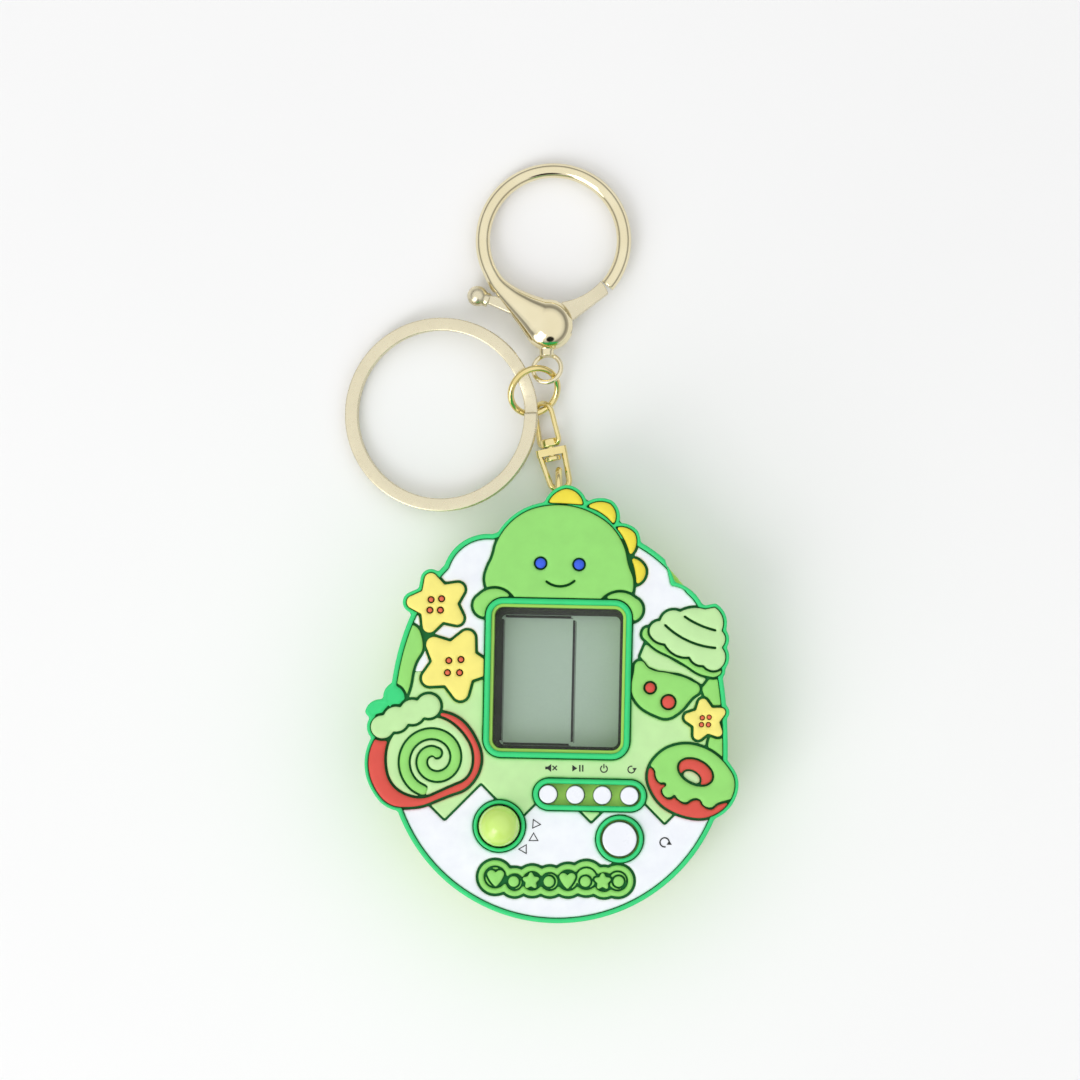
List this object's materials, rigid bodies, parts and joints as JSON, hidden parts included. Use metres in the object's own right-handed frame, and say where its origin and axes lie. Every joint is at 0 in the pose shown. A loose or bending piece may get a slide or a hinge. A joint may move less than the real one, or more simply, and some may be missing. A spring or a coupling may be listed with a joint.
{
  "type": "virtual pet keychain",
  "caption": "Egg-shaped pocket electronic game with a small screen, joystick and buttons in a soft relief cover, on a swivel with a split key ring and a ring clasp.",
  "frame": {"origin": "middle of the back face of the game, on the surface that it lies on", "axes": "+Z out of the front of the game, +Y towards the key ring and the clasp, +X to the right seen from the front"},
  "size_m": [0.0609, 0.1175, 0.0201],
  "materials": {
    "case_plastic": "yellow-green moulded plastic, satin",
    "screw_steel": "bright zinc plated steel",
    "cell_steel": "bright steel can",
    "contact_nickel": "nickel plated spring strip",
    "board_laminate": "green laminate",
    "black_resin": "black resin",
    "grey_silicone": "grey silicone",
    "display_cell": "grey-green reflective display cell",
    "holder_plastic": "white moulded plastic",
    "clear_lens": "clear acrylic, polished",
    "black_print": "black ink",
    "ball_plastic": "lime green, polished",
    "white_plastic": "white, satin",
    "cover_dark": "dark green soft rubber in the grooves",
    "cover_emerald": "emerald soft rubber, matt",
    "cover_white": "white soft rubber, matt",
    "cover_pale": "pale green soft rubber, matt",
    "cover_band": "mid green soft rubber, matt",
    "head_green": "leaf green soft rubber, matt",
    "eye_blue": "blue soft rubber, matt",
    "spine_yellow": "yellow soft rubber, matt",
    "star_yellow": "pale yellow soft rubber, matt",
    "dot_red": "brick red soft rubber, matt",
    "light_green": "light green soft rubber, matt",
    "mid_green": "green soft rubber, matt",
    "sauce_red": "red soft rubber, matt",
    "window_pale": "pale soft rubber, matt",
    "plaque_green": "green soft rubber, matt",
    "swivel_gold": "light gold plating, polished",
    "ring_gold": "champagne gold plating, satin",
    "clasp_gold": "champagne gold plating, polished",
    "spring_steel": "bright spring wire"
  },
  "bodies": {
    "game": {"rear_shell": "case_plastic", "front_shell": "case_plastic", "case_screws": "screw_steel", "coin_cells": "cell_steel", "battery_contacts": "contact_nickel", "circuit_board": "board_laminate", "chip_blob": "black_resin", "buzzer": "black_resin", "keypad_membrane": "grey_silicone", "zebra_strips": "grey_silicone", "display_glass": "display_cell", "display_holder": "holder_plastic", "screen_lens": "clear_lens", "screen_print": "black_print", "printed_icons": "black_print", "cover_base": "cover_dark", "cover_rim": "cover_emerald", "control_rings": "cover_emerald", "white_panels": "cover_white", "pale_panels": "cover_pale", "side_bands": "cover_band", "head_pad": "head_green", "arm_pads": "head_green", "eyes": "eye_blue", "spine_pads": "spine_yellow", "star_pads": "star_yellow", "star_dots": "dot_red", "roll_cream": "light_green", "cupcake_cream": "light_green", "roll_face": "light_green", "cupcake_band": "light_green", "roll_spiral": "mid_green", "cupcake_lip": "mid_green", "cupcake_cup": "mid_green", "donut_icing": "mid_green", "roll_sauce": "sauce_red", "donut_dough": "sauce_red", "cupcake_dots": "sauce_red", "donut_window": "window_pale", "plaque_base": "plaque_green", "plaque_relief": "plaque_green"},
    "battery_door": {"battery_door": "case_plastic", "battery_door_screw": "screw_steel"},
    "stick_guide": {"joystick_guide": "holder_plastic"},
    "stick": {"joystick_ball": "ball_plastic", "joystick_stem": "ball_plastic"},
    "rotate_button": {"rotate_button": "white_plastic"},
    "mute_button": {"mute_button": "white_plastic"},
    "pause_button": {"pause_button": "white_plastic"},
    "power_button": {"power_button": "white_plastic"},
    "reset_button": {"reset_button": "white_plastic"},
    "small_link": {"small_link": "swivel_gold"},
    "swivel_frame": {"swivel_frame": "swivel_gold"},
    "swivel_shackle": {"swivel_shackle": "swivel_gold"},
    "round_link": {"round_link": "swivel_gold"},
    "split_ring": {"split_ring": "ring_gold"},
    "clasp": {"clasp_frame": "clasp_gold", "clasp_pin": "clasp_gold", "clasp_spring": "spring_steel"},
    "clasp_gate": {"clasp_gate": "clasp_gold"}
  },
  "joints": [
    {"name": "battery_door_lift", "type": "slide", "parent": "game", "child": "battery_door", "axis": [0, 0, -1], "range_m": [0, 0.006]},
    {"name": "stick_forward", "type": "hinge", "parent": "game", "child": "stick_guide", "pos_m": [-0.00895, -0.0155, 0.0169], "axis": [1, 0, 0], "range_deg": [-9, 9], "stiffness_Nm_per_rad": 0.006},
    {"name": "stick_sideways", "type": "hinge", "parent": "stick_guide", "child": "stick", "pos_m": [-0.00895, -0.0155, 0.0169], "axis": [0, 1, 0], "range_deg": [-9, 9], "stiffness_Nm_per_rad": 0.006},
    {"name": "rotate_press", "type": "slide", "parent": "game", "child": "rotate_button", "axis": [0, 0, -1], "range_m": [0, 0.0008], "stiffness_N_per_m": 400, "springref_m": -0.0004},
    {"name": "mute_press", "type": "slide", "parent": "game", "child": "mute_button", "axis": [0, 0, -1], "range_m": [0, 0.0005], "stiffness_N_per_m": 400, "springref_m": -0.0003},
    {"name": "pause_press", "type": "slide", "parent": "game", "child": "pause_button", "axis": [0, 0, -1], "range_m": [0, 0.0005], "stiffness_N_per_m": 400, "springref_m": -0.0003},
    {"name": "power_press", "type": "slide", "parent": "game", "child": "power_button", "axis": [0, 0, -1], "range_m": [0, 0.0005], "stiffness_N_per_m": 400, "springref_m": -0.0003},
    {"name": "reset_press", "type": "slide", "parent": "game", "child": "reset_button", "axis": [0, 0, -1], "range_m": [0, 0.0005], "stiffness_N_per_m": 400, "springref_m": -0.0003},
    {"name": "small_link_swing", "type": "hinge", "parent": "game", "child": "small_link", "pos_m": [0, 0.0337, 0.0035], "axis": [0, 0, 1], "range_deg": [-35, 12]},
    {"name": "swivel_lift", "type": "hinge", "parent": "small_link", "child": "swivel_frame", "pos_m": [0.00038, 0.03645, 0.00207], "axis": [0.98, 0.1988, -0.004], "range_deg": [0, 40]},
    {"name": "shackle_spin", "type": "hinge", "parent": "swivel_frame", "child": "swivel_shackle", "pos_m": [-0.00123, 0.0426, 0.00195], "axis": [-0.1989, 0.9798, -0.0197], "continuous": true},
    {"name": "round_link_turn", "type": "hinge", "parent": "swivel_shackle", "child": "round_link", "pos_m": [-0.00383, 0.05171, 0.00364], "axis": [0.3568, -0.4343, 0.8271], "range_deg": [-20, 5]},
    {"name": "split_ring_turn", "type": "hinge", "parent": "round_link", "child": "split_ring", "pos_m": [-0.0182, 0.0481, 0.00265], "axis": [-0.1127, 0, 0.9936], "continuous": true},
    {"name": "clasp_swing", "type": "hinge", "parent": "round_link", "child": "clasp", "pos_m": [-0.00181, 0.05518, 0.00365], "axis": [0.2112, -0.2834, -0.9354], "range_deg": [-6, 60]},
    {"name": "gate_open", "type": "hinge", "parent": "clasp", "child": "clasp_gate", "pos_m": [-0.0015, 0.0626, 0.00325], "axis": [0, 0.0802, 0.9968], "range_deg": [0, 10], "stiffness_Nm_per_rad": 0.002, "springref_deg": -8.59}
  ]
}
